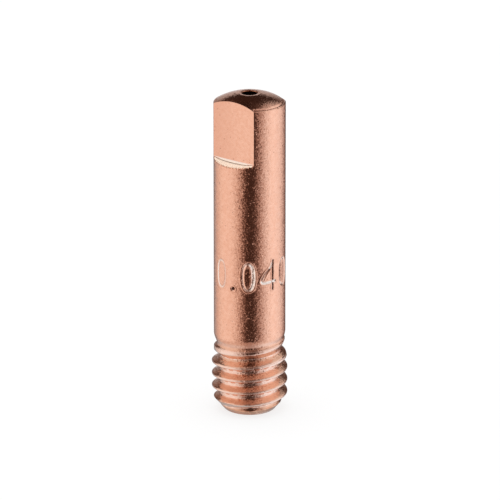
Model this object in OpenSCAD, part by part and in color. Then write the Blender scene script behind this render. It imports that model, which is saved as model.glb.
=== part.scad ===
// Contact tip of a gas-shielded arc welding torch. One piece of copper rod is turned to a shank with
// a domed nose, drilled through for the wire, milled with two spanner flats, and rolled with the
// right-hand thread that screws into the tip holder. Z runs up the bore, from the thread to the nose.

/* [Shank and nose] */
// Length from the thread's end face to the apex of the nose's dome
overall_length = 25.4; // [20:0.1:40]
// Diameter of the plain turned shank
shank_diameter = 5.5; // [5:0.05:6.5]
// Radius of the domed face of the nose
nose_radius = 5.2; // [3.5:0.1:12]

/* [Wire bore] */
// Diameter of the bore that the wire runs through
bore_diameter = 1.2; // [0.7:0.05:2]
// Width of the broken edge round the bore's mouth in the nose
mouth_break = 0.06; // [0.02:0.01:0.2]
// Diameter, at the end face, of the cone that leads the wire in
inlet_diameter = 2.2; // [2.1:0.1:3.2]
// Full angle of the lead-in cone
inlet_angle = 60; // [40:5:120]

/* [Spanner flats] */
// Distance across the two flats
across_flats = 3.9; // [3:0.1:4.8]
// Length of the flats, from the dome's apex down to the ledge
flat_length = 5.1; // [3:0.1:9]
// Slope of the ledge at the foot of each flat, falling outwards
ledge_slope = 17; // [0:1:40]

/* [Thread] */
// Diameter over the rolled crests, a little under the nominal 6 mm
thread_diameter = 5.82; // [5.6:0.02:6]
// Distance from one crest to the next
thread_pitch = 1; // [0.75:0.05:1.25]
// Full angle between the flanks of the groove
flank_angle = 60; // [50:1:70]
// Width of the crest between two turns of the groove
crest_width = 0.26; // [0.16:0.02:0.4]
// Width of the groove's bottom
root_width = 0.12; // [0.05:0.01:0.2]
// Length of full-depth thread above the end face
thread_length = 4.1; // [3:0.1:8]
// Length of the taper from the crests down to the shank
taper_length = 0.6; // [0.2:0.1:1.5]
// Number of turns in which the groove rises out of the metal
runout_turns = 2; // [0.5:0.1:3]
// Angle from +X at which the middle of the groove meets the end face
thread_start = 94; // [0:1:359]

/* [Thread end] */
// Diameter of the end face that seats in the tip holder
end_face_diameter = 3.9; // [3.4:0.1:4.6]
// Slope of the chamfer between the end face and the first crest
chamfer_angle = 50; // [30:1:60]

/* [Hidden] */

copper = [0.86, 0.56, 0.43];
// Distance by which a cutting solid overshoots the surface that it cuts
overcut = 0.5;
// Distance by which the groove's flanks run on past the crests or the shank
flank_overcut = 0.05;
// Smoothness of round shapes, and of one turn of the groove
round_facets = 128;
steps_per_turn = 48;

shank_r = shank_diameter / 2;
bore_r = bore_diameter / 2;
inlet_r = inlet_diameter / 2;
inlet_depth = (inlet_r - bore_r) / tan(inlet_angle / 2);
nose_centre_z = overall_length - nose_radius;
mouth_z = nose_centre_z + sqrt(nose_radius^2 - bore_r^2);
mouth_break_height = overall_length - mouth_z + mouth_break;

flat_y = across_flats / 2;
ledge_z = overall_length - flat_length;
flat_reach = shank_r + overcut;
ledge_foot_z = ledge_z - (flat_reach - flat_y) * tan(ledge_slope);

crest_r = thread_diameter / 2;
end_face_r = end_face_diameter / 2;
chamfer_height = (crest_r - end_face_r) * tan(chamfer_angle);
thread_depth = (thread_pitch - crest_width - root_width) / (2 * tan(flank_angle / 2));
root_r = crest_r - thread_depth;
flank_top_r = max(crest_r, shank_r) + flank_overcut;
runout_r = shank_r + flank_overcut / 2;
groove_reach = max(crest_r, shank_r) + overcut;
widest_half_groove = (thread_pitch - flank_overcut) / 2;
lead_in_turns = 1;
groove_turns = lead_in_turns + thread_length / thread_pitch + runout_turns;
groove_steps = ceil(groove_turns * steps_per_turn);

// Radius of the groove's bottom after a number of turns from the end face
function groove_bottom_r(turn) =
    let (runout = (turn - thread_length / thread_pitch) / runout_turns)
    root_r + max(0, min(1, runout)) * (runout_r - root_r);

// Section of the groove, as [radius, height from its middle], with its bottom at a given radius
function groove_section(bottom_r) =
    let (half_bottom = root_width / 2)
    let (flank_half_top = half_bottom + (flank_top_r - bottom_r) * tan(flank_angle / 2))
    let (half_top = min(flank_half_top, widest_half_groove))
    [
        [bottom_r, -half_bottom], [flank_top_r, -half_top], [groove_reach, -half_top],
        [groove_reach, half_top], [flank_top_r, half_top], [bottom_r, half_bottom]
    ];

// The same section set round the axis and along the helix
function groove_ring(turn) =
    let (angle = thread_start + 360 * turn)
    [
        for (p = groove_section(groove_bottom_r(turn)))
            [p.x * cos(angle), p.x * sin(angle), p.y + turn * thread_pitch]
    ];

// The helical groove: sections along the helix, joined by pairs of triangles
module thread_groove() {
    corners = len(groove_section(root_r));
    rings = [for (step = [0 : groove_steps]) groove_ring(step / steps_per_turn - lead_in_turns)];
    first_cap = [for (corner = [corners - 1 : -1 : 0]) corner];
    last_cap = [for (corner = [0 : corners - 1]) groove_steps * corners + corner];
    sides = [
        for (step = [0 : groove_steps - 1], corner = [0 : corners - 1])
            let (here = step * corners, next = here + corners, beside = (corner + 1) % corners)
            each [
                [here + corner, next + beside, next + corner],
                [here + corner, here + beside, next + beside]
            ]
    ];
    polyhedron(points = [for (ring = rings) each ring], faces = concat([first_cap, last_cap], sides));
}

// The turned blank: chamfered end, rolled diameter, taper into the shank
module turned_blank() {
    rotate_extrude($fn = round_facets)
        polygon([
            [0, 0],
            [end_face_r, 0],
            [crest_r, chamfer_height],
            [crest_r, thread_length],
            [shank_r, thread_length + taper_length],
            [shank_r, overall_length],
            [0, overall_length]
        ]);
}

// What turning the dome takes off the square end of the blank
module nose_turning() {
    difference() {
        translate([0, 0, nose_centre_z])
            cylinder(r = shank_r + overcut, h = nose_radius + overcut, $fn = round_facets);
        translate([0, 0, nose_centre_z])
            sphere(r = nose_radius, $fn = round_facets);
    }
}

// What the cutter takes off one side to leave a flat and its sloping ledge
module flat_cut() {
    rotate([90, 0, 90])
        linear_extrude(height = 2 * flat_reach, center = true)
            polygon([
                [flat_y, ledge_z],
                [flat_reach, ledge_foot_z],
                [flat_reach, overall_length + overcut],
                [flat_y, overall_length + overcut]
            ]);
}

// The wire's way through: lead-in cone, bore, and broken edge at the mouth
module wire_way() {
    translate([0, 0, -overcut])
        cylinder(d = bore_diameter, h = overall_length + 2 * overcut, $fn = round_facets);
    cylinder(r1 = inlet_r, r2 = bore_r, h = inlet_depth, $fn = round_facets);
    translate([0, 0, overall_length - mouth_break_height])
        cylinder(r1 = bore_r, r2 = bore_r + mouth_break_height, h = mouth_break_height, $fn = round_facets);
}

module contact_tip() {
    color(copper)
        difference() {
            turned_blank();
            nose_turning();
            flat_cut();
            mirror([0, 1, 0]) flat_cut();
            thread_groove();
            wire_way();
        }
}

contact_tip();
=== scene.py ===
import math

import bmesh
import bpy
import numpy as np
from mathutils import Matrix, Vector


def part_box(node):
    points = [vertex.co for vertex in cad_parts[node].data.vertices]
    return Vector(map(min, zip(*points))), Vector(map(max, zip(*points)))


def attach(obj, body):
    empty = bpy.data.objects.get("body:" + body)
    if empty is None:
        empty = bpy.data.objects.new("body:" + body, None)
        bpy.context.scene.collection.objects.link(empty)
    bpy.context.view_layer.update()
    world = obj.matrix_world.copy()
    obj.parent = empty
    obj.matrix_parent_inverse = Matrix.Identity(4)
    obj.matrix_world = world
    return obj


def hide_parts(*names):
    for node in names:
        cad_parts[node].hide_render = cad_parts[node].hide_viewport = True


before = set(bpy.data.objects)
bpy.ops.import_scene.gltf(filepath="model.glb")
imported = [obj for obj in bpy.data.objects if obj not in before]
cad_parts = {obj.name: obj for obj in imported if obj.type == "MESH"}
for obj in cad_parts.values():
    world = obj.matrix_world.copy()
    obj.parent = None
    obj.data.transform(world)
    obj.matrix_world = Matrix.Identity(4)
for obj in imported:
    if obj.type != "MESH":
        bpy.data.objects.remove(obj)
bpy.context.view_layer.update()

# Turned blank
# The tip starts as a copper rod. A lathe faces its end, turns the shank and the domed nose, and drills
# the wire bore with a lead-in cone. One closed section is spun round the axis.
MM = 0.001
tip_low, tip_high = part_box("contact_tip")
overall_length = 25.4
shank_r = 2.75
nose_radius = 5.2
bore_r = 0.6
# The shallow dish round the bore's mouth, and the rounded lip inside it
mouth_r = 0.82
mouth_slope = math.radians(3)
lip_round = 0.05
inlet_r = 1.1
inlet_angle = math.radians(60)
crest_r = (tip_high.x - tip_low.x) / 2 / MM
end_face_r = 1.95
chamfer_angle = math.radians(50)
thread_length = 4.1
taper_length = 0.6
ledge_z = 20.3

nose_centre_z = overall_length - nose_radius
chamfer_height = (crest_r - end_face_r) * math.tan(chamfer_angle)
inlet_depth = (inlet_r - bore_r) / math.tan(inlet_angle / 2)


def dome_height(radius):
    """Height of the nose's dome at a distance from the axis."""
    return nose_centre_z + np.sqrt(nose_radius ** 2 - radius ** 2)


def blank_radius(height):
    """Radius of the blank at a height: end chamfer, thread diameter, taper, shank."""
    heights = [0, chamfer_height, thread_length, thread_length + taper_length]
    return np.interp(height, heights, [end_face_r, crest_r, crest_r, shank_r])


def stretch(start, end, rows):
    """Points of a straight stretch of the section, with its end left to the next stretch."""
    return [tuple(np.add(start, np.subtract(end, start) * i / rows)) for i in range(rows)]


mouth_z = float(dome_height(mouth_r))
lip_z = mouth_z - (mouth_r - bore_r) * math.tan(mouth_slope)
lip_start_z = lip_z + lip_round * math.tan(mouth_slope)
# The end face's broken edge: how far in it starts, and how far out and up it ends
end_break = 0.04
end_break_out = 0.01
end_break_up = 0.03
# Heights of the rolled end, of the stamped band, and of the nose, which starts under the ledge
rolled_low = 0.08
rolled_top = 7.0
number_low = 10.05
number_high = 12.95
nose_low = ledge_z - 0.32
# Two plain rows close under the nose keep its torn edge from bending the shading of the shank
guard_gaps = (0.1, 0.06)
# Rows of points on each stretch, and columns round the axis
face_rows = 3
rolled_rows = 140
lower_rows = 2
number_rows = 40
upper_rows = 4
nose_rows = 41
nose_row_gap = 0.05
mouth_rows = 3
lip_points = 4
bore_rows = 3
inlet_rows = 2
columns = 300
merge_gap = 0.0001

section = stretch((inlet_r, 0), (end_face_r - end_break, 0), face_rows)
section += [(end_face_r - end_break, 0), (end_face_r + end_break_out, end_break_up)]
rolled_heights = np.linspace(rolled_low, rolled_top, rolled_rows, endpoint=False)
section += [(float(blank_radius(z)), z) for z in rolled_heights]
section += stretch((shank_r, rolled_top), (shank_r, number_low), lower_rows)
section += stretch((shank_r, number_low), (shank_r, number_high), number_rows)
section += stretch((shank_r, number_high), (shank_r, nose_low - guard_gaps[0]), upper_rows)
section += [(shank_r, nose_low - gap) for gap in guard_gaps]
section += [(shank_r, nose_low + row * nose_row_gap) for row in range(nose_rows)]
section += stretch((mouth_r, mouth_z), (bore_r + lip_round, lip_start_z), mouth_rows)
section += [(bore_r + lip_round * (1 - math.sin(a)), lip_z - lip_round * (1 - math.cos(a)))
            for a in np.linspace(0, math.pi / 2, lip_points)]
section += stretch((bore_r, lip_z - 2 * lip_round), (bore_r, inlet_depth), bore_rows)
section += stretch((bore_r, inlet_depth), (inlet_r, 0), inlet_rows)

bpy.ops.object.select_all(action="DESELECT")
bpy.ops.mesh.primitive_circle_add(vertices=len(section), radius=shank_r * MM, fill_type="NOTHING")
tip = bpy.context.object
tip.name = "copper_tip"
for vertex, (radius, height) in zip(tip.data.vertices, section):
    vertex.co = (radius * MM, 0, height * MM)
bpy.ops.object.mode_set(mode="EDIT")
bpy.ops.mesh.select_all(action="SELECT")
bpy.ops.mesh.spin(steps=columns, angle=2 * math.pi, center=(0, 0, 0), axis=(0, 0, 1))
bpy.ops.mesh.select_all(action="SELECT")
bpy.ops.mesh.remove_doubles(threshold=merge_gap * MM)
bpy.ops.mesh.normals_make_consistent(inside=False)
bpy.ops.object.mode_set(mode="OBJECT")

# Spanner flats
# A cutter with a rounded corner mills two opposite flats up through the nose, each with a ledge at its
# foot that slopes down to the shank. Tumbling then rounds the rim and the edges a little.
flat_y = 1.95
ledge_slope = math.radians(17)
cutter_round = 0.16
rim_round = 0.1
flat_edge_round = 0.05
upright_round = 0.02
# Depth of cut past which a point lies on a flat, and over which the rim's round becomes the flat's
least_cut = 0.05
edge_change = 0.05
# The seam that the cutter leaves in the ledge, and the torn edge where the ledge meets the shank
seam_row = 6
seam_depth = 0.04
seam_fade = 0.3
torn_height = 0.065
tear_waves = [(61, 0), (97, 1.3), (143, 0.4)]
# The hairline on the dome beside the rim, which stops short of the flats
line_rows = 3
line_width = 0.15
line_depth = 0.03
line_clear = 0.02
# Rows of the nose on the ledge, the flat's wall and the rim, with the rest on the dome
ledge_rows = 9
wall_rows = 8
rim_rows = 7
wall_end = ledge_rows + wall_rows
rim_end = wall_end + rim_rows
dome_rows = nose_rows - rim_end
# How the rows gather towards the flat's foot, and the columns towards its upright edges
ledge_gather = 1.6
wall_gather = 1.4
least_row_gap = 0.005
edge_gather = math.radians(4.2)
# Points round the cutter's corner, how far out the cut goes, and two limits for safe sums
corner_points = 12
cut_reach = 1.2
least_cosine = 0.1
tolerance = 0.001
flat_half_angle = math.acos(flat_y / shank_r)


def read_points():
    """The tip's points as arrays of radius, angle and height, in millimetres."""
    points = np.empty(len(tip.data.vertices) * 3)
    tip.data.vertices.foreach_get("co", points)
    x, y, z = points.reshape(-1, 3).T / MM
    return np.hypot(x, y), np.arctan2(y, x), z


def write_points(radius, angle, height):
    """Puts the tip's points back from radius, angle and height."""
    points = np.stack([radius * np.cos(angle), radius * np.sin(angle), height], axis=1) * MM
    tip.data.vertices.foreach_set("co", points.ravel())
    tip.data.update()


def blend_least(a, b, width):
    """The smaller of two radii, rounded where they meet."""
    share = np.clip(0.5 + 0.5 * (b - a) / width, 0, 1)
    return b + (a - b) * share - width * share * (1 - share)


# Columns near a flat's upright edge move in to it, so that the edge is crisp
radius, angle, height = read_points()
side = np.where(np.sin(angle) < 0, -math.pi / 2, math.pi / 2)
turn = angle - side
column_angle = 2 * math.pi / columns
nearest_column = np.round(flat_half_angle / column_angle) * column_angle
from_edge = np.abs(turn) - nearest_column
gathered = np.sign(from_edge) * from_edge ** 2 / edge_gather
settle = np.clip(1 - np.abs(from_edge) / edge_gather, 0, 1)
from_edge = np.where(np.abs(from_edge) < edge_gather, gathered, from_edge)
turn = np.sign(turn) * (nearest_column + from_edge + settle * (flat_half_angle - nearest_column))
angle = turn + side

# The cut's section, out from the flat: depth of metal left standing, and height
corner = np.linspace(0, math.pi / 2 - ledge_slope, corner_points)
cut_depth = np.append(cutter_round * (1 - np.cos(corner)), cut_reach)
cut_z = ledge_z + cutter_round * (1 - np.sin(corner))
cut_z = np.append(cut_z, cut_z[-1] - (cut_reach - cut_depth[-2]) * math.tan(ledge_slope))

# The ledge, from its torn edge at the shank in to the foot of the flat
row = np.round((height - nose_low) / nose_row_gap)
row = np.where((radius > shank_r - tolerance) & (row >= 0), row, -1)
reach = np.maximum(np.cos(turn), least_cosine)
shank_depth = np.maximum(shank_r * reach - flat_y, 0)
on_flat = shank_depth > least_cut
share = np.clip((ledge_rows - row) / ledge_rows, 0, 1)
depth = shank_depth * share ** ledge_gather
cut_r = blend_least((flat_y + depth) / reach, shank_r, upright_round)
ledge_height = np.interp(depth, cut_depth, cut_z) - share * ledge_rows * least_row_gap
tearing = sum(np.sin(waves * angle + shift) for waves, shift in tear_waves)
torn_edge = on_flat & (row >= 0) & (row <= 1)
ledge_height = ledge_height - (row == seam_row) * seam_depth * np.clip(shank_depth / seam_fade, 0, 1)
ledge_height = ledge_height + torn_edge * torn_height * tearing / 2
cut_r = cut_r + (row == 0) * torn_edge * np.maximum(tearing, 0) * torn_height / 4

# The flat's wall, the rounded rim above it, and the dome in to the bore's mouth
wall_r = blend_least(flat_y / reach, shank_r, upright_round)
edge_r = rim_round + (flat_edge_round - rim_round) * np.clip((shank_r - wall_r) / edge_change, 0, 1)
arc_r = wall_r - edge_r
arc_z = nose_centre_z + np.sqrt((nose_radius - edge_r) ** 2 - arc_r ** 2)
arc_end = np.arctan2(arc_z - nose_centre_z, arc_r)
share = np.clip((row - ledge_rows) / wall_rows, 0, 1)
wall_height = ledge_z + cutter_round + share ** wall_gather * (arc_z - ledge_z - cutter_round)
share = np.clip((row - wall_end) / rim_rows, 0, 1)
rim_r = arc_r + edge_r * np.cos(arc_end * share)
rim_height = arc_z + edge_r * np.sin(arc_end * share)
dome_step = np.maximum(row - rim_end, 0)
share = np.clip((dome_step - line_rows) / (dome_rows - line_rows), 0, 1)
dome_r = nose_radius * np.cos(arc_end) - np.minimum(dome_step, line_rows) * line_width / line_rows
dome_r = dome_r + share * (mouth_r - dome_r)
line_cut = np.where((dome_step == line_rows - 1) & (wall_r > shank_r - line_clear), line_depth, 0)
dome_z = dome_height(dome_r) - line_cut

places = [row < 0, row <= ledge_rows, row <= wall_end, row <= rim_end]
milled_r = np.select(places, [radius, cut_r, wall_r, rim_r], dome_r)
milled_z = np.select(places, [height, ledge_height, wall_height, rim_height], dome_z)
write_points(milled_r, angle, milled_z)

# Marks kept on the points: painted shade in the seam, and a painted highlight along the flat's foot
cut_marks = {"dark": on_flat & (row == seam_row), "painted_highlight": on_flat & (row == ledge_rows - 1)}
for name, values in cut_marks.items():
    tip.data.attributes.new(name, "FLOAT", "POINT").data.foreach_set("value", values * 1.0)

# Rolled thread
# Two dies roll the right-hand M6 x 1 thread into the rear end. Rolling moves the metal and cuts none
# away, so the crests stay round and the groove fades out slowly where the dies leave the shank.
thread_pitch = 1.0
thread_start = math.radians(94)
flank_slope = 1 / math.tan(math.radians(27))
root_width = 0.26
root_r = 2.3
crest_round = 0.07
unrolled_end = 0.12
# The run-out: its turns, the groove's width at its end, its rise past the shank, and the powers by
# which its bottom rises and its lower flank fades
runout_turns = 2.3
runout_width = 0.14
runout_rise = 0.07
rise_power = 1.3
fade_power = 0.4
# The long slope above the run-out: the share of it at which the slope is full, its width, its least
# width, and how much wider it starts and how fast it closes
entry_from = 0.33
entry_width = 0.6
least_entry = 0.25
entry_start = 2.4
entry_close = 2.6

radius, angle, height = read_points()
start_turn = (angle - thread_start) / (2 * math.pi)
groove_r = np.full_like(radius, 2 * crest_r)
for neighbour in (-1, 0, 1):
    turns = np.round(height / thread_pitch - start_turn) + neighbour + start_turn
    above = height > turns * thread_pitch
    offset = np.abs(height - turns * thread_pitch)
    runout = np.clip((turns * thread_pitch - thread_length) / (runout_turns * thread_pitch), 0, 1)
    bottom_r = root_r + runout ** rise_power * (shank_r + runout_rise - root_r)
    half_root = root_width / 2 + runout * (runout_width - root_width) / 2
    entry = np.clip(runout / entry_from, 0, 1)
    entry_run = np.maximum(least_entry, entry_width * (entry_start - entry_close * runout))
    entry_slope = flank_slope + entry * (np.maximum(0, shank_r - bottom_r) / entry_run - flank_slope)
    slope = np.where(above, entry_slope, flank_slope * (1 - runout) ** fade_power)
    groove_r = np.minimum(groove_r, bottom_r + np.maximum(0, offset - half_root) * slope)
in_thread = (radius > inlet_r) & (height > unrolled_end) & (height < rolled_top)
rolled_r = blend_least(blank_radius(height), groove_r, crest_round)
write_points(np.where(in_thread, rolled_r, radius), angle, height)

# Stamped number
# The wire size, a plain number, is stamped round the shank one figure at a time. Each stroke is a thin
# groove, and the metal that it pushes aside stands up along both edges.
burr_height = 0.02
burr_gap = 0.055
burr_width = 0.05
burr_share = 0.25
# Distance from a stroke within which the mesh is finer, and the cuts across each edge there
stroke_window = 0.29
stroke_cuts = 2
# Height of the number's middle, and the size of a nought and of the full point
number_z = 11.47
figure_half_w = 0.43
figure_half_h = 1.06
point_half = 0.03
point_drop = -1.03
# The figures are set out from the side that the camera looks from
camera_turn = math.radians(38.3)


def round_figure(half_w, half_h, steps=40):
    """A closed nought, a little squarer than an ellipse."""
    squareness = 0.84
    loop = []
    for step in range(steps + 1):
        a = 2 * math.pi * step / steps
        across = math.copysign(abs(math.cos(a)) ** squareness, math.cos(a))
        along = math.copysign(abs(math.sin(a)) ** squareness, math.sin(a))
        loop.append((half_w * across, half_h * along))
    return loop


nought = round_figure(figure_half_w, figure_half_h)
four_upright = [(0.43, 1.2), (0.41, -1.17)]
four_top = [(0.36, 1.0), (0.29, 0.74), (0.14, 0.56)]
four_arm = [(0.1, 0.5), (-0.17, 0.22), (-0.37, -0.08), (-0.5, -0.35)]
four_bar = [(-0.5, -0.42), (-0.42, -0.53), (-0.2, -0.55), (0.64, -0.5)]
full_point = [(x, y + point_drop) for x, y in round_figure(point_half, point_half, 6)]
# Each figure's turn in degrees, its strokes' half width and depth, how much harder they are struck at
# its right, and the share of them that carries a painted highlight, with how much more that is at its
# right
figures = [
    dict(turn=-51.2, half_width=0.115, depth=0.045, lean=0, bright=0.35, more=-0.25, strokes=[nought]),
    dict(turn=-2.7, half_width=0.135, depth=0.085, lean=0.45, bright=0.4, more=0.5, strokes=[nought]),
    dict(turn=65.6, half_width=0.11, depth=0.09, lean=-0.3, bright=0.1, more=0.1, strokes=[nought]),
    dict(turn=30.5, half_width=0.115, depth=0.1, lean=-0.3, bright=0, more=0,
         strokes=[four_upright, four_arm]),
    dict(turn=30.5, half_width=0.1, depth=0.06, lean=0, bright=0.8, more=0, strokes=[four_top]),
    dict(turn=30.5, half_width=0.15, depth=0.1, lean=0, bright=0.85, more=0, strokes=[four_bar]),
    dict(turn=-27.9, half_width=0.17, depth=0.14, lean=0, bright=0, more=0, strokes=[full_point]),
]


def nearest_stroke(angle, height):
    """Distance over the shank from the nearest stroke, and its half width, depth and painted highlight
    share.
    """
    distance = np.full_like(angle, overall_length)
    half_width = np.ones_like(angle)
    depth = np.zeros_like(angle)
    bright = np.zeros_like(angle)
    along = height - number_z
    for figure in figures:
        middle = camera_turn - math.pi / 2 + math.radians(figure["turn"])
        across = np.angle(np.exp(1j * (angle - middle))) * shank_r
        to_right = np.clip(across / figure_half_w, -1, 1)
        harder = 1 + figure["lean"] * to_right
        for stroke in figure["strokes"]:
            for (x0, y0), (x1, y1) in zip(stroke, stroke[1:]):
                run = (x1 - x0) ** 2 + (y1 - y0) ** 2
                share = np.clip(((across - x0) * (x1 - x0) + (along - y0) * (y1 - y0)) / run, 0, 1)
                gap = np.hypot(across - x0 - share * (x1 - x0), along - y0 - share * (y1 - y0))
                nearer = gap < distance
                half_width = np.where(nearer, figure["half_width"] * (1 + harder) / 2, half_width)
                depth = np.where(nearer, figure["depth"] * harder, depth)
                bright = np.where(nearer, figure["bright"] + figure["more"] * to_right, bright)
                distance = np.minimum(distance, gap)
    return distance, half_width, depth, bright


bpy.ops.object.mode_set(mode="EDIT")
bpy.ops.mesh.select_mode(type="FACE")
bpy.ops.mesh.select_all(action="DESELECT")
edit_mesh = bmesh.from_edit_mesh(tip.data)
centres = np.array([face.calc_center_median() for face in edit_mesh.faces]) / MM
centre_r = np.hypot(centres[:, 0], centres[:, 1])
centre_gap = nearest_stroke(np.arctan2(centres[:, 1], centres[:, 0]), centres[:, 2])[0]
for face, gap, r in zip(edit_mesh.faces, centre_gap, centre_r):
    face.select_set(bool(gap < stroke_window and r > inlet_r))
bmesh.update_edit_mesh(tip.data)
bpy.ops.mesh.subdivide(number_cuts=stroke_cuts)
bpy.ops.object.mode_set(mode="OBJECT")

radius, angle, height = read_points()
gap, half_width, depth, bright = nearest_stroke(angle, height)
stamped = (radius > inlet_r) & (gap < stroke_window) & (height > number_low) & (height < number_high)
groove = np.maximum(0, 1 - gap / half_width)
burr = np.exp(-((gap - half_width - burr_gap) / burr_width) ** 2)
burr = burr * np.minimum(depth * burr_share, burr_height)
stamped_r = np.where(stamped, shank_r - depth * groove + burr, radius)
write_points(stamped_r, angle, height)

# Worked surfaces
# Dies, stamps, cutters and the drill each leave a finish of their own on the copper. It is kept as marks
# on the piece's points, which the material reads, and some marks also hold painted shade and painted
# highlights.

# Bands of the thread, as shares of its depth or turns from the groove's middle, and how bright each is
# painted: partly burnish, partly painted highlight
crest_band = 0.12
root_band = 0.15
upper_band = (0.02, 0.12)
crest_bright = 0.65
root_bright = 0.5
upper_bright = 0.85
chamfer_overlap = 0.1
# The run-out: where its last turn is pressed, how it fades, and its tones of burnish and painted highlight
# by turns from the last groove
last_turn = 6
pressed_from = -0.95
fade_start = 1.5
tone_turns = [-0.75, -0.2, -0.14, 0.02, 0.14, 0.32, 0.4, 0.6]
tone_shares = [0.95, 0.75, 0, 0, 0.85, 0.85, 0.15, 0]
# Painted shade on the run-out's flanks, by turns from the last groove
flank_turns = [-0.22, -0.14, 0.02, 0.1]
flank_shares = [0, 1, 1, 0]
# Strokes: the depth at which their burnish and painted highlight are full, the least share, and how soon
# a stroke's painted white highlight is full
full_stamp = 0.09
least_stamp = 0.55
highlight_gain = 2.5
# The full point's painted shade in its core: how far below the number's middle, how deep and how near the
# point it is
core_drop = 0.8
core_depth = 0.12
core_half = 0.08
# Room for error round the milled, drilled and sloping faces
milled_room = 0.02
bore_room = 0.01
inlet_room = 0.02
inlet_rise = 0.1
ledge_room = 0.03
ledge_below = 0.3
ledge_above = 0.1
# Where the thread's groove is torn, and how coarse the grain is on each face
torn_from = 2.8
torn_recess = 0.5
milled_grain = 0.75
faced_grain = 0.6
torn_grain = 1.4
thread_grain = 0.7

in_thread = (radius > inlet_r) & (height > unrolled_end) & (height < rolled_top)
full_thread = in_thread & (height < thread_length + taper_length)
recess = np.clip((blank_radius(height) - radius) / (crest_r - root_r), 0, 1)
from_last = height / thread_pitch - (angle - thread_start) / (2 * math.pi) - last_turn
from_groove = from_last - np.round(from_last)
crest_share = np.clip(1 - recess / crest_band, 0, 1) * (height > chamfer_height - chamfer_overlap)
root_share = np.clip(1 - (1 - recess) / root_band, 0, 1)
upper_share = np.interp(from_groove, upper_band, [0, 1])
thread_tone = np.maximum(crest_bright * crest_share, root_bright * root_share)
thread_tone = np.maximum(thread_tone, upper_bright * upper_share)
# Painted shade on the thread's flanks, between its crest, root and upper bands
flank = full_thread * (1 - crest_share) * (1 - root_share) * (1 - upper_share)

pressed = in_thread & (height > thread_length) & (from_last > pressed_from) & (from_last < entry_width)
risen = (height - thread_length) / (runout_turns * thread_pitch)
pressed_fade = np.clip(fade_start * (1 - risen), 0, 1)
pressed_tone = np.interp(from_last, tone_turns, tone_shares) * pressed_fade
pressed_flank = np.interp(from_last, flank_turns, flank_shares) * pressed_fade
flank = np.where(pressed, pressed_flank, flank)
stroke_tone = groove * np.clip(depth / full_stamp, least_stamp, 1)
# Burnish, partly painted highlight, on the thread's bands, the run-out and the strokes
burnish_and_highlight = np.select([stamped, pressed, full_thread], [stroke_tone, pressed_tone, thread_tone], 0)

off_flat = np.abs(stamped_r * np.sin(angle)) - flat_y
milled = (np.abs(off_flat) < milled_room) & (height > ledge_z) & (radius > mouth_r)
in_bore = (radius < bore_r + bore_room) & (height < lip_z)
in_inlet = (radius < inlet_r - inlet_room) & (height < inlet_depth + inlet_rise)
by_ledge = (height > ledge_z - ledge_below) & (height < ledge_z + ledge_above)
ledge = by_ledge & (off_flat > ledge_room) & (stamped_r < shank_r - ledge_room)
faced = (height > ledge_z) & (radius < shank_r - rim_round) & ~milled
torn = full_thread & (height > torn_from) & (recess > torn_recess)
low_thread = in_thread & (height < thread_length + thread_pitch)
grain = np.select([milled, faced, torn, low_thread],
                  [milled_grain, faced_grain, torn_grain, thread_grain], 1.0)
marks = {"burnish_and_highlight": burnish_and_highlight, "flank": flank, "grain": grain, "milled": milled * 1.0,
         "drilled": (in_bore | in_inlet) * 1.0, "ledge": ledge * 1.0}
for name, values in marks.items():
    tip.data.attributes.new(name, "FLOAT", "POINT").data.foreach_set("value", values)

# The full point's core gets painted shade as the seam does, and some strokes a painted highlight as the
# flat's foot does
point_shade = stamped & (height < number_z - core_drop) & (depth > core_depth) & (gap < core_half)
# Painted highlight on the strokes, more at the right of some figures
stroke_highlights = stamped * np.clip(highlight_gain * groove, 0, 1) * np.clip(bright, 0, 1)
for name, values in {"dark": point_shade, "painted_highlight": stroke_highlights}.items():
    before = np.empty(len(radius))
    tip.data.attributes[name].data.foreach_get("value", before)
    tip.data.attributes[name].data.foreach_set("value", np.maximum(before, values))

bpy.ops.object.select_all(action="DESELECT")
tip.select_set(True)
bpy.context.view_layer.objects.active = tip
bpy.ops.object.mode_set(mode="EDIT")
bpy.ops.mesh.select_all(action="SELECT")
bpy.ops.mesh.normals_make_consistent(inside=False)
bpy.ops.object.mode_set(mode="OBJECT")
bpy.ops.object.shade_smooth_by_angle(angle=math.radians(50))
bpy.ops.object.modifier_add(type="WEIGHTED_NORMAL")
tip.modifiers[-1].keep_sharp = True
bpy.ops.object.modifier_apply(modifier=tip.modifiers[-1].name)

# Bright copper
# Plain copper, tumbled after machining: a satin metal with fine grain, faint lines drawn along the
# shank, and small pits and specks. Painted shade deepens it on the thread's flanks, at the flat's left, in
# the ledge's seam, the full point and the bore. It is paler where it was burnished, and painted highlights
# lie on the thread's bands, the ledge, the flat's foot and some strokes.
dull_copper = (0.885, 0.455, 0.31)
clean_copper = (0.945, 0.52, 0.37)
# Painted shade for the flat's left side
flat_shade_copper = (0.76, 0.37, 0.25)
speck_brown = (0.34, 0.15, 0.09)
# Painted shade for the thread's flanks
flank_shade_copper = (0.82, 0.455, 0.31)
# Burnished copper, partly a painted highlight on the thread's bands and the strokes
burnish_highlight_copper = (0.98, 0.76, 0.66)
# Painted highlight along the ledge, over its rough milled finish
ledge_highlight_cream = (1.0, 0.82, 0.66)
# Painted highlight along the flat's foot and on some strokes
highlight_white = (1.0, 0.9, 0.82)
# Painted shade in the ledge's seam and in the full point's core
seam_shade_brown = (0.1, 0.035, 0.02)
# Painted shade inside the bore and its lead-in cone
bore_shade_brown = (0.5, 0.17, 0.08)
# Scales of the patterns, in repeats to the metre, and how far the lines are drawn out along the tip
mottle_scale = 4200
grain_scale = 7400
line_scale = 12000
line_stretch = 40
speck_scale = 2600
pit_scale = 4500
facet_scale = 13000
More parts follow.
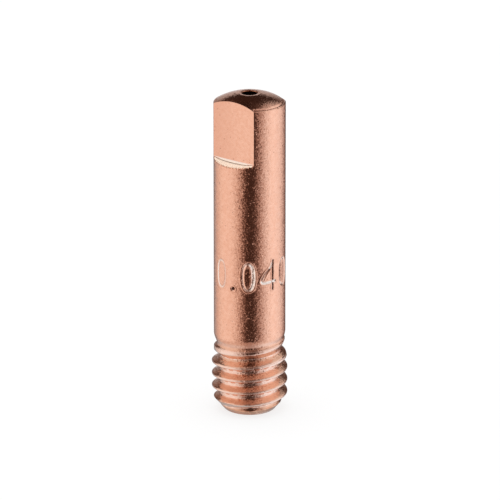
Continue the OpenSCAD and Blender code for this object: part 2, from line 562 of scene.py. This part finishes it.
# Heights of the bumps, in millimetres, and the lean of the tumbled facets, most of them slight
grain_height = 0.012
pit_height = 0.004
line_height = 0.0004
facet_lean = (0.1, 0.42)
facet_power = 5
# Roughness across the grain, and the ledge's own finish: rougher, and hardly metallic
roughness = (0.09, 0.17)
ledge_roughness = 0.25
ledge_metallic = 0.05
# Painted shade darkens the flat to its left, over this stretch across the tip
dark_left = -2.0 * MM
clear_right = 0.6 * MM
left_share = 0.6
# Specks: where each starts and ends to fade, as a share of its cell, and the darkest one's share
speck_size = (0.08, 0.2)
speck_share = 0.55

copper = bpy.data.materials.new("bright_copper")
copper.use_nodes = True
nodes = copper.node_tree.nodes
links = copper.node_tree.links
shader = nodes["Principled BSDF"]
# The plain value that stands wherever the linked one is not read
shader.inputs["Metallic"].default_value = 1.0
on_tip = nodes.new("ShaderNodeTexCoord").outputs["Object"]


def noise(scale, detail, stretch_along=1.0):
    """Noise on the piece's own coordinates, drawn out along the tip by a factor."""
    mapping = nodes.new("ShaderNodeMapping")
    mapping.inputs["Scale"].default_value = (1, 1, 1 / stretch_along)
    texture = nodes.new("ShaderNodeTexNoise")
    texture.inputs["Scale"].default_value = scale
    texture.inputs["Detail"].default_value = detail
    links.new(on_tip, mapping.inputs["Vector"])
    links.new(mapping.outputs["Vector"], texture.inputs["Vector"])
    return texture.outputs["Fac"]


def cells(scale):
    """Outputs of a pattern of small cells on the piece's own coordinates."""
    node = nodes.new("ShaderNodeTexVoronoi")
    node.inputs["Scale"].default_value = scale
    links.new(on_tip, node.inputs["Vector"])
    return node.outputs


def cell_chance(cell_outputs):
    """A chance value from 0 to 1 for each cell."""
    node = nodes.new("ShaderNodeTexWhiteNoise")
    node.noise_dimensions = "3D"
    links.new(cell_outputs["Position"], node.inputs["Vector"])
    return node.outputs["Value"]


def mark(name):
    """One of the marks kept on the piece's points."""
    node = nodes.new("ShaderNodeAttribute")
    node.attribute_name = name
    return node.outputs["Fac"]


def ranged(value, low, high, to_low, to_high):
    """Value moved from one range to another, held at its ends."""
    node = nodes.new("ShaderNodeMapRange")
    node.inputs["From Min"].default_value = low
    node.inputs["From Max"].default_value = high
    node.inputs["To Min"].default_value = to_low
    node.inputs["To Max"].default_value = to_high
    links.new(value, node.inputs["Value"])
    return node.outputs["Result"]


def combined(operation, first, second):
    """Two values put together by an operation, the second another node's output or a plain number."""
    node = nodes.new("ShaderNodeMath")
    node.operation = operation
    links.new(first, node.inputs[0])
    if isinstance(second, (int, float)):
        node.inputs[1].default_value = second
    else:
        links.new(second, node.inputs[1])
    return node.outputs["Value"]


def mixed(share, first, second):
    """Colour between two colours, each a plain colour or another node's output."""
    node = nodes.new("ShaderNodeMix")
    node.data_type = "RGBA"
    links.new(share, node.inputs["Factor"])
    # Sockets 6 and 7 take the two colours, and 2 gives the mixed one
    for socket, colour in ((node.inputs[6], first), (node.inputs[7], second)):
        if isinstance(colour, tuple):
            socket.default_value = (*colour, 1)
        else:
            links.new(colour, socket)
    return node.outputs[2]


def bumped(height, distance, before=None):
    """A normal with a height worked in, over the normal before it."""
    node = nodes.new("ShaderNodeBump")
    node.inputs["Strength"].default_value = 1.0
    node.inputs["Distance"].default_value = distance * MM
    links.new(height, node.inputs["Height"])
    if before:
        links.new(before, node.inputs["Normal"])
    return node.outputs["Normal"]


def vector_node(operation, first):
    """A node for one operation on vectors, with its first vector joined."""
    node = nodes.new("ShaderNodeVectorMath")
    node.operation = operation
    links.new(first, node.inputs[0])
    return node


colour = mixed(ranged(noise(mottle_scale, 3), 0.35, 0.65, 0, 1), dull_copper, clean_copper)
apart = nodes.new("ShaderNodeSeparateXYZ")
links.new(on_tip, apart.inputs["Vector"])
# Painted shade on the milled flat, darkest at its left
flat_left_shade = ranged(apart.outputs["X"], dark_left, clear_right, left_share, 0)
colour = mixed(combined("MULTIPLY", mark("milled"), flat_left_shade), colour, flat_shade_copper)
specks = cells(speck_scale)
speck_spots = ranged(specks["Distance"], *speck_size, 1, 0)
speck_depth = ranged(cell_chance(specks), 0.5, 1, 0, speck_share)
colour = mixed(combined("MULTIPLY", speck_spots, speck_depth), colour, speck_brown)
on_ledge = mark("ledge")
# Painted shade deepens the thread's flanks
colour = mixed(mark("flank"), colour, flank_shade_copper)
# Burnish and painted highlight on the thread and the strokes
colour = mixed(mark("burnish_and_highlight"), colour, burnish_highlight_copper)
# Painted highlight along the ledge
colour = mixed(on_ledge, colour, ledge_highlight_cream)
# Painted highlight along the flat's foot and on some strokes
colour = mixed(mark("painted_highlight"), colour, highlight_white)
# Painted shade in the ledge's seam and the full point's core
colour = mixed(mark("dark"), colour, seam_shade_brown)
# Painted shade inside the bore and its lead-in cone
colour = mixed(mark("drilled"), colour, bore_shade_brown)
links.new(colour, shader.inputs["Base Color"])
links.new(ranged(on_ledge, 0, 1, 1, ledge_metallic), shader.inputs["Metallic"])

grain = noise(grain_scale, 1)
grain_roughness = ranged(grain, 0.3, 0.7, *roughness)
extra_roughness = ranged(on_ledge, 0, 1, 0, ledge_roughness)
links.new(combined("ADD", grain_roughness, extra_roughness), shader.inputs["Roughness"])
coarseness = mark("grain")
pits = ranged(cells(pit_scale)["Distance"], 0.05, 0.3, 0, 1)
normal = bumped(combined("MULTIPLY", grain, coarseness), grain_height)
normal = bumped(combined("MULTIPLY", pits, coarseness), pit_height, normal)
normal = bumped(noise(line_scale, 2, line_stretch), line_height, normal)
facets = cells(facet_scale)
either_way = vector_node("SUBTRACT", facets["Color"])
either_way.inputs[1].default_value = (0.5, 0.5, 0.5)
lean = vector_node("SCALE", either_way.outputs["Vector"])
steepness = ranged(combined("POWER", cell_chance(facets), facet_power), 0, 1, *facet_lean)
links.new(combined("MULTIPLY", steepness, coarseness), lean.inputs["Scale"])
leaning = vector_node("ADD", normal)
links.new(lean.outputs["Vector"], leaning.inputs[1])
unit = vector_node("NORMALIZE", leaning.outputs["Vector"])
links.new(unit.outputs["Vector"], shader.inputs["Normal"])
tip.data.materials.append(copper)

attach(tip, "root")
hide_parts("contact_tip")

# Table
# A plain white table top. It takes the tip's soft shadow, and the metal reflects the tent instead.
table_size = 4
table_gap = 0.02
table_grey = (0.86, 0.86, 0.86, 1)
table_roughness = 0.9
white = (1, 1, 1, 1)
paper_share = 0.75
bpy.ops.object.select_all(action="DESELECT")
bpy.ops.mesh.primitive_plane_add(size=table_size, location=(0, 0, -table_gap * MM))
table = bpy.context.object
table.name = "table_top"
table.visible_glossy = False
table_paint = bpy.data.materials.new("white_table")
table_paint.use_nodes = True
nodes = table_paint.node_tree.nodes
links = table_paint.node_tree.links
top_shader = nodes["Principled BSDF"]
top_shader.inputs["Base Color"].default_value = table_grey
top_shader.inputs["Roughness"].default_value = table_roughness
top_shader.inputs["Specular IOR Level"].default_value = 0.0
paper = nodes.new("ShaderNodeEmission")
paper.inputs["Color"].default_value = white
ray = nodes.new("ShaderNodeLightPath")
lightened = nodes.new("ShaderNodeMixShader")
links.new(combined("MULTIPLY", ray.outputs["Is Camera Ray"], paper_share), lightened.inputs["Fac"])
links.new(top_shader.outputs["BSDF"], lightened.inputs[1])
links.new(paper.outputs["Emission"], lightened.inputs[2])
links.new(lightened.outputs["Shader"], nodes["Material Output"].inputs["Surface"])
table.data.materials.append(table_paint)

# Light tent
# A white tent round the tip, as small bright metal is photographed: lit cloth at both sides, a gap for
# the lens in front, and dark flags behind, which draw the edges and the dome.
tent_radius = 0.25
tent_middle = overall_length / 2 * MM
# Brightness of the cloth by direction round the tip, in degrees to the right of the lens, at five
# levels from the table up to the top
table_cloth = [(-180, 0.45), (-150, 0.45), (-110, 0.76), (-60, 0.76), (-35, 0.65), (-12, 0.42),
               (12, 0.42), (35, 0.62), (60, 0.88), (100, 0.95), (150, 0.4)]
low_cloth = [(-180, 0.68), (-173, 0.68), (-168, 0.18), (-154, 0.3), (-141, 0.54), (-130, 0.66),
             (-117, 0.82), (-104, 0.92), (-90, 0.98), (-74, 0.96), (-58, 0.96), (-42, 0.76), (-30, 0.53),
             (-18, 0.17), (-8, 0.05), (6, 0.05), (16, 0.07), (24, 0.2), (36, 0.48), (62, 0.96), (80, 1.08),
             (112, 0.94), (132, 0.64), (149, 0.24), (162, 0.1), (168, 0.1), (173, 0.68)]
mid_cloth = [(-180, 0.56), (-172, 0.48), (-165, 0.38), (-157, 0.25), (-150, 0.11), (-138, 0.13),
             (-120, 0.8), (-100, 0.9), (-50, 0.95), (-28, 0.5), (-10, 0.14), (10, 0.14), (28, 0.5),
             (50, 0.8), (100, 0.85), (114, 0.5), (126, 0.1), (156, 0.07), (161, 0.14), (166, 0.28),
             (172, 0.45)]
top_cloth = [(-180, 0.035), (-162, 0.035), (-150, 0.12), (-140, 0.3), (-126, 0.95), (-100, 1.0),
             (-50, 0.75), (-28, 0.4), (0, 0.15), (28, 0.45), (50, 0.75), (100, 0.95), (130, 0.9),
             (140, 0.82), (147, 0.58), (153, 0.33), (158, 0.04), (165, 0.035)]
crown_cloth = [(-180, 0.02), (-150, 0.03), (-120, 0.85), (-80, 0.7), (-30, 0.15), (30, 0.15), (80, 0.55),
               (120, 0.6), (138, 0.45), (146, 0.22), (156, 0.05)]
upper_levels = [low_cloth, mid_cloth, top_cloth, crown_cloth]
# Heights between which one level gives way to the next, as sines of the elevation
level_heights = [(-0.62, -0.46), (-0.02, 0.1), (0.36, 0.48), (0.78, 0.9)]
# Share of green and of blue in the cloth's light: the darker it is, the browner
green_share = (0.55, 0.5)
blue_share = (0.42, 0.62)
# Past this direction the lighter cloth is a plain grey, a trace blue
plain_from = 137
plain_least = 0.25
plain_blue = 1.02
# The cloth at the right is a little cooler
cool_side = (1.075, 1.15)

bpy.ops.object.select_all(action="DESELECT")
bpy.ops.mesh.primitive_uv_sphere_add(segments=96, ring_count=48, radius=tent_radius)
tent = bpy.context.object
tent.name = "light_tent"
tent.location.z = tent_middle
tent.visible_camera = False
tent.visible_diffuse = False
tent.visible_shadow = False
tent.visible_transmission = False
cloth = bpy.data.materials.new("tent_cloth")
cloth.use_nodes = True
nodes = cloth.node_tree.nodes
links = cloth.node_tree.links
nodes.remove(nodes["Principled BSDF"])
cloth_glow = nodes.new("ShaderNodeEmission")
links.new(cloth_glow.outputs["Emission"], nodes["Material Output"].inputs["Surface"])
in_tent = nodes.new("ShaderNodeTexCoord").outputs["Object"]
facing = nodes.new("ShaderNodeMapping")
facing.inputs["Rotation"].default_value = (0, 0, math.pi / 2 - camera_turn)
links.new(in_tent, facing.inputs["Vector"])
direction = nodes.new("ShaderNodeTexGradient")
direction.gradient_type = "RADIAL"
links.new(facing.outputs["Vector"], direction.inputs["Vector"])
tent_place = nodes.new("ShaderNodeSeparateXYZ")
links.new(in_tent, tent_place.inputs["Vector"])


def cloth_round(stops):
    """Colour of one level of the cloth by its direction round the tip."""
    ramp = nodes.new("ShaderNodeValToRGB")
    elements = ramp.color_ramp.elements
    while len(elements) > 1:
        elements.remove(elements[-1])
    for index, (degrees, grey) in enumerate(stops):
        share = (degrees + 180) / 360
        if index == 0:
            element = elements[0]
            element.position = share
        else:
            element = elements.new(share)
        plain = abs(degrees) > plain_from and grey > plain_least
        green = grey if plain else grey * min(1, green_share[0] + green_share[1] * grey)
        blue = grey * plain_blue if plain else grey * min(1, blue_share[0] + blue_share[1] * grey)
        cool = cool_side if degrees > 0 and not plain else (1, 1)
        element.color = (grey, green * cool[0], blue * cool[1], 1)
    links.new(direction.outputs["Fac"], ramp.inputs["Fac"])
    return ramp.outputs["Color"]


glow = cloth_round(table_cloth)
for stops, (level_low, level_high) in zip(upper_levels, level_heights):
    rise = ranged(tent_place.outputs["Z"], level_low * tent_radius, level_high * tent_radius, 0, 1)
    rise.node.interpolation_type = "SMOOTHSTEP"
    glow = mixed(rise, glow, cloth_round(stops))
links.new(glow, cloth_glow.inputs["Color"])
tent.data.materials.append(cloth)

# Studio light
# White all round for what the lens and the metal see, and a softer white for the table, with one wide
# lamp above that gives the shadow its direction.
ambient_strength = 1.2
lamp_size = 0.5
lamp_energy = 0.5
lamp_place = Vector((-0.15, 0.1, 0.6))
world = bpy.context.scene.world or bpy.data.worlds.new("studio")
bpy.context.scene.world = world
world.use_nodes = True
nodes = world.node_tree.nodes
links = world.node_tree.links
nodes.clear()
seen = nodes.new("ShaderNodeBackground")
seen.inputs["Color"].default_value = white
ambient = nodes.new("ShaderNodeBackground")
ambient.inputs["Color"].default_value = white
ambient.inputs["Strength"].default_value = ambient_strength
ray = nodes.new("ShaderNodeLightPath")
lens_or_metal = combined("MAXIMUM", ray.outputs["Is Camera Ray"], ray.outputs["Is Glossy Ray"])
any_clear = combined("MAXIMUM", lens_or_metal, ray.outputs["Is Transmission Ray"])
pick = nodes.new("ShaderNodeMixShader")
links.new(any_clear, pick.inputs["Fac"])
links.new(ambient.outputs["Background"], pick.inputs[1])
links.new(seen.outputs["Background"], pick.inputs[2])
output = nodes.new("ShaderNodeOutputWorld")
links.new(pick.outputs["Shader"], output.inputs["Surface"])

lamp = bpy.data.lights.new("wide_lamp", "AREA")
lamp.size = lamp_size
lamp.energy = lamp_energy
lamp_stand = bpy.data.objects.new("wide_lamp", lamp)
lamp_stand.location = lamp_place
lamp_stand.rotation_euler = lamp_place.to_track_quat("Z", "Y").to_euler()
lamp_stand.visible_glossy = False
bpy.context.scene.collection.objects.link(lamp_stand)

# Camera
# A long lens looks down at the standing tip from the front right of one spanner flat.
camera_rise = math.radians(18.8)
camera_distance = 0.4
lens = 376.6
sensor_width = 36
nearest_seen = 0.01
aim_height = 12.75
aim_right = 0.03
level_back = Vector((math.sin(camera_turn), -math.cos(camera_turn), 0))
back = level_back * math.cos(camera_rise) + Vector((0, 0, math.sin(camera_rise)))
right = Vector((math.cos(camera_turn), math.sin(camera_turn), 0))
aim = Vector((0, 0, aim_height * MM)) + right * aim_right * MM
camera_data = bpy.data.cameras.new("camera")
camera_data.lens = lens
camera_data.sensor_width = sensor_width
camera_data.clip_start = nearest_seen
camera = bpy.data.objects.new("camera", camera_data)
camera.location = aim + back * camera_distance
camera.rotation_euler = back.to_track_quat("Z", "Y").to_euler()
bpy.context.scene.collection.objects.link(camera)
bpy.context.scene.camera = camera
bpy.context.scene.view_settings.view_transform = "Standard"
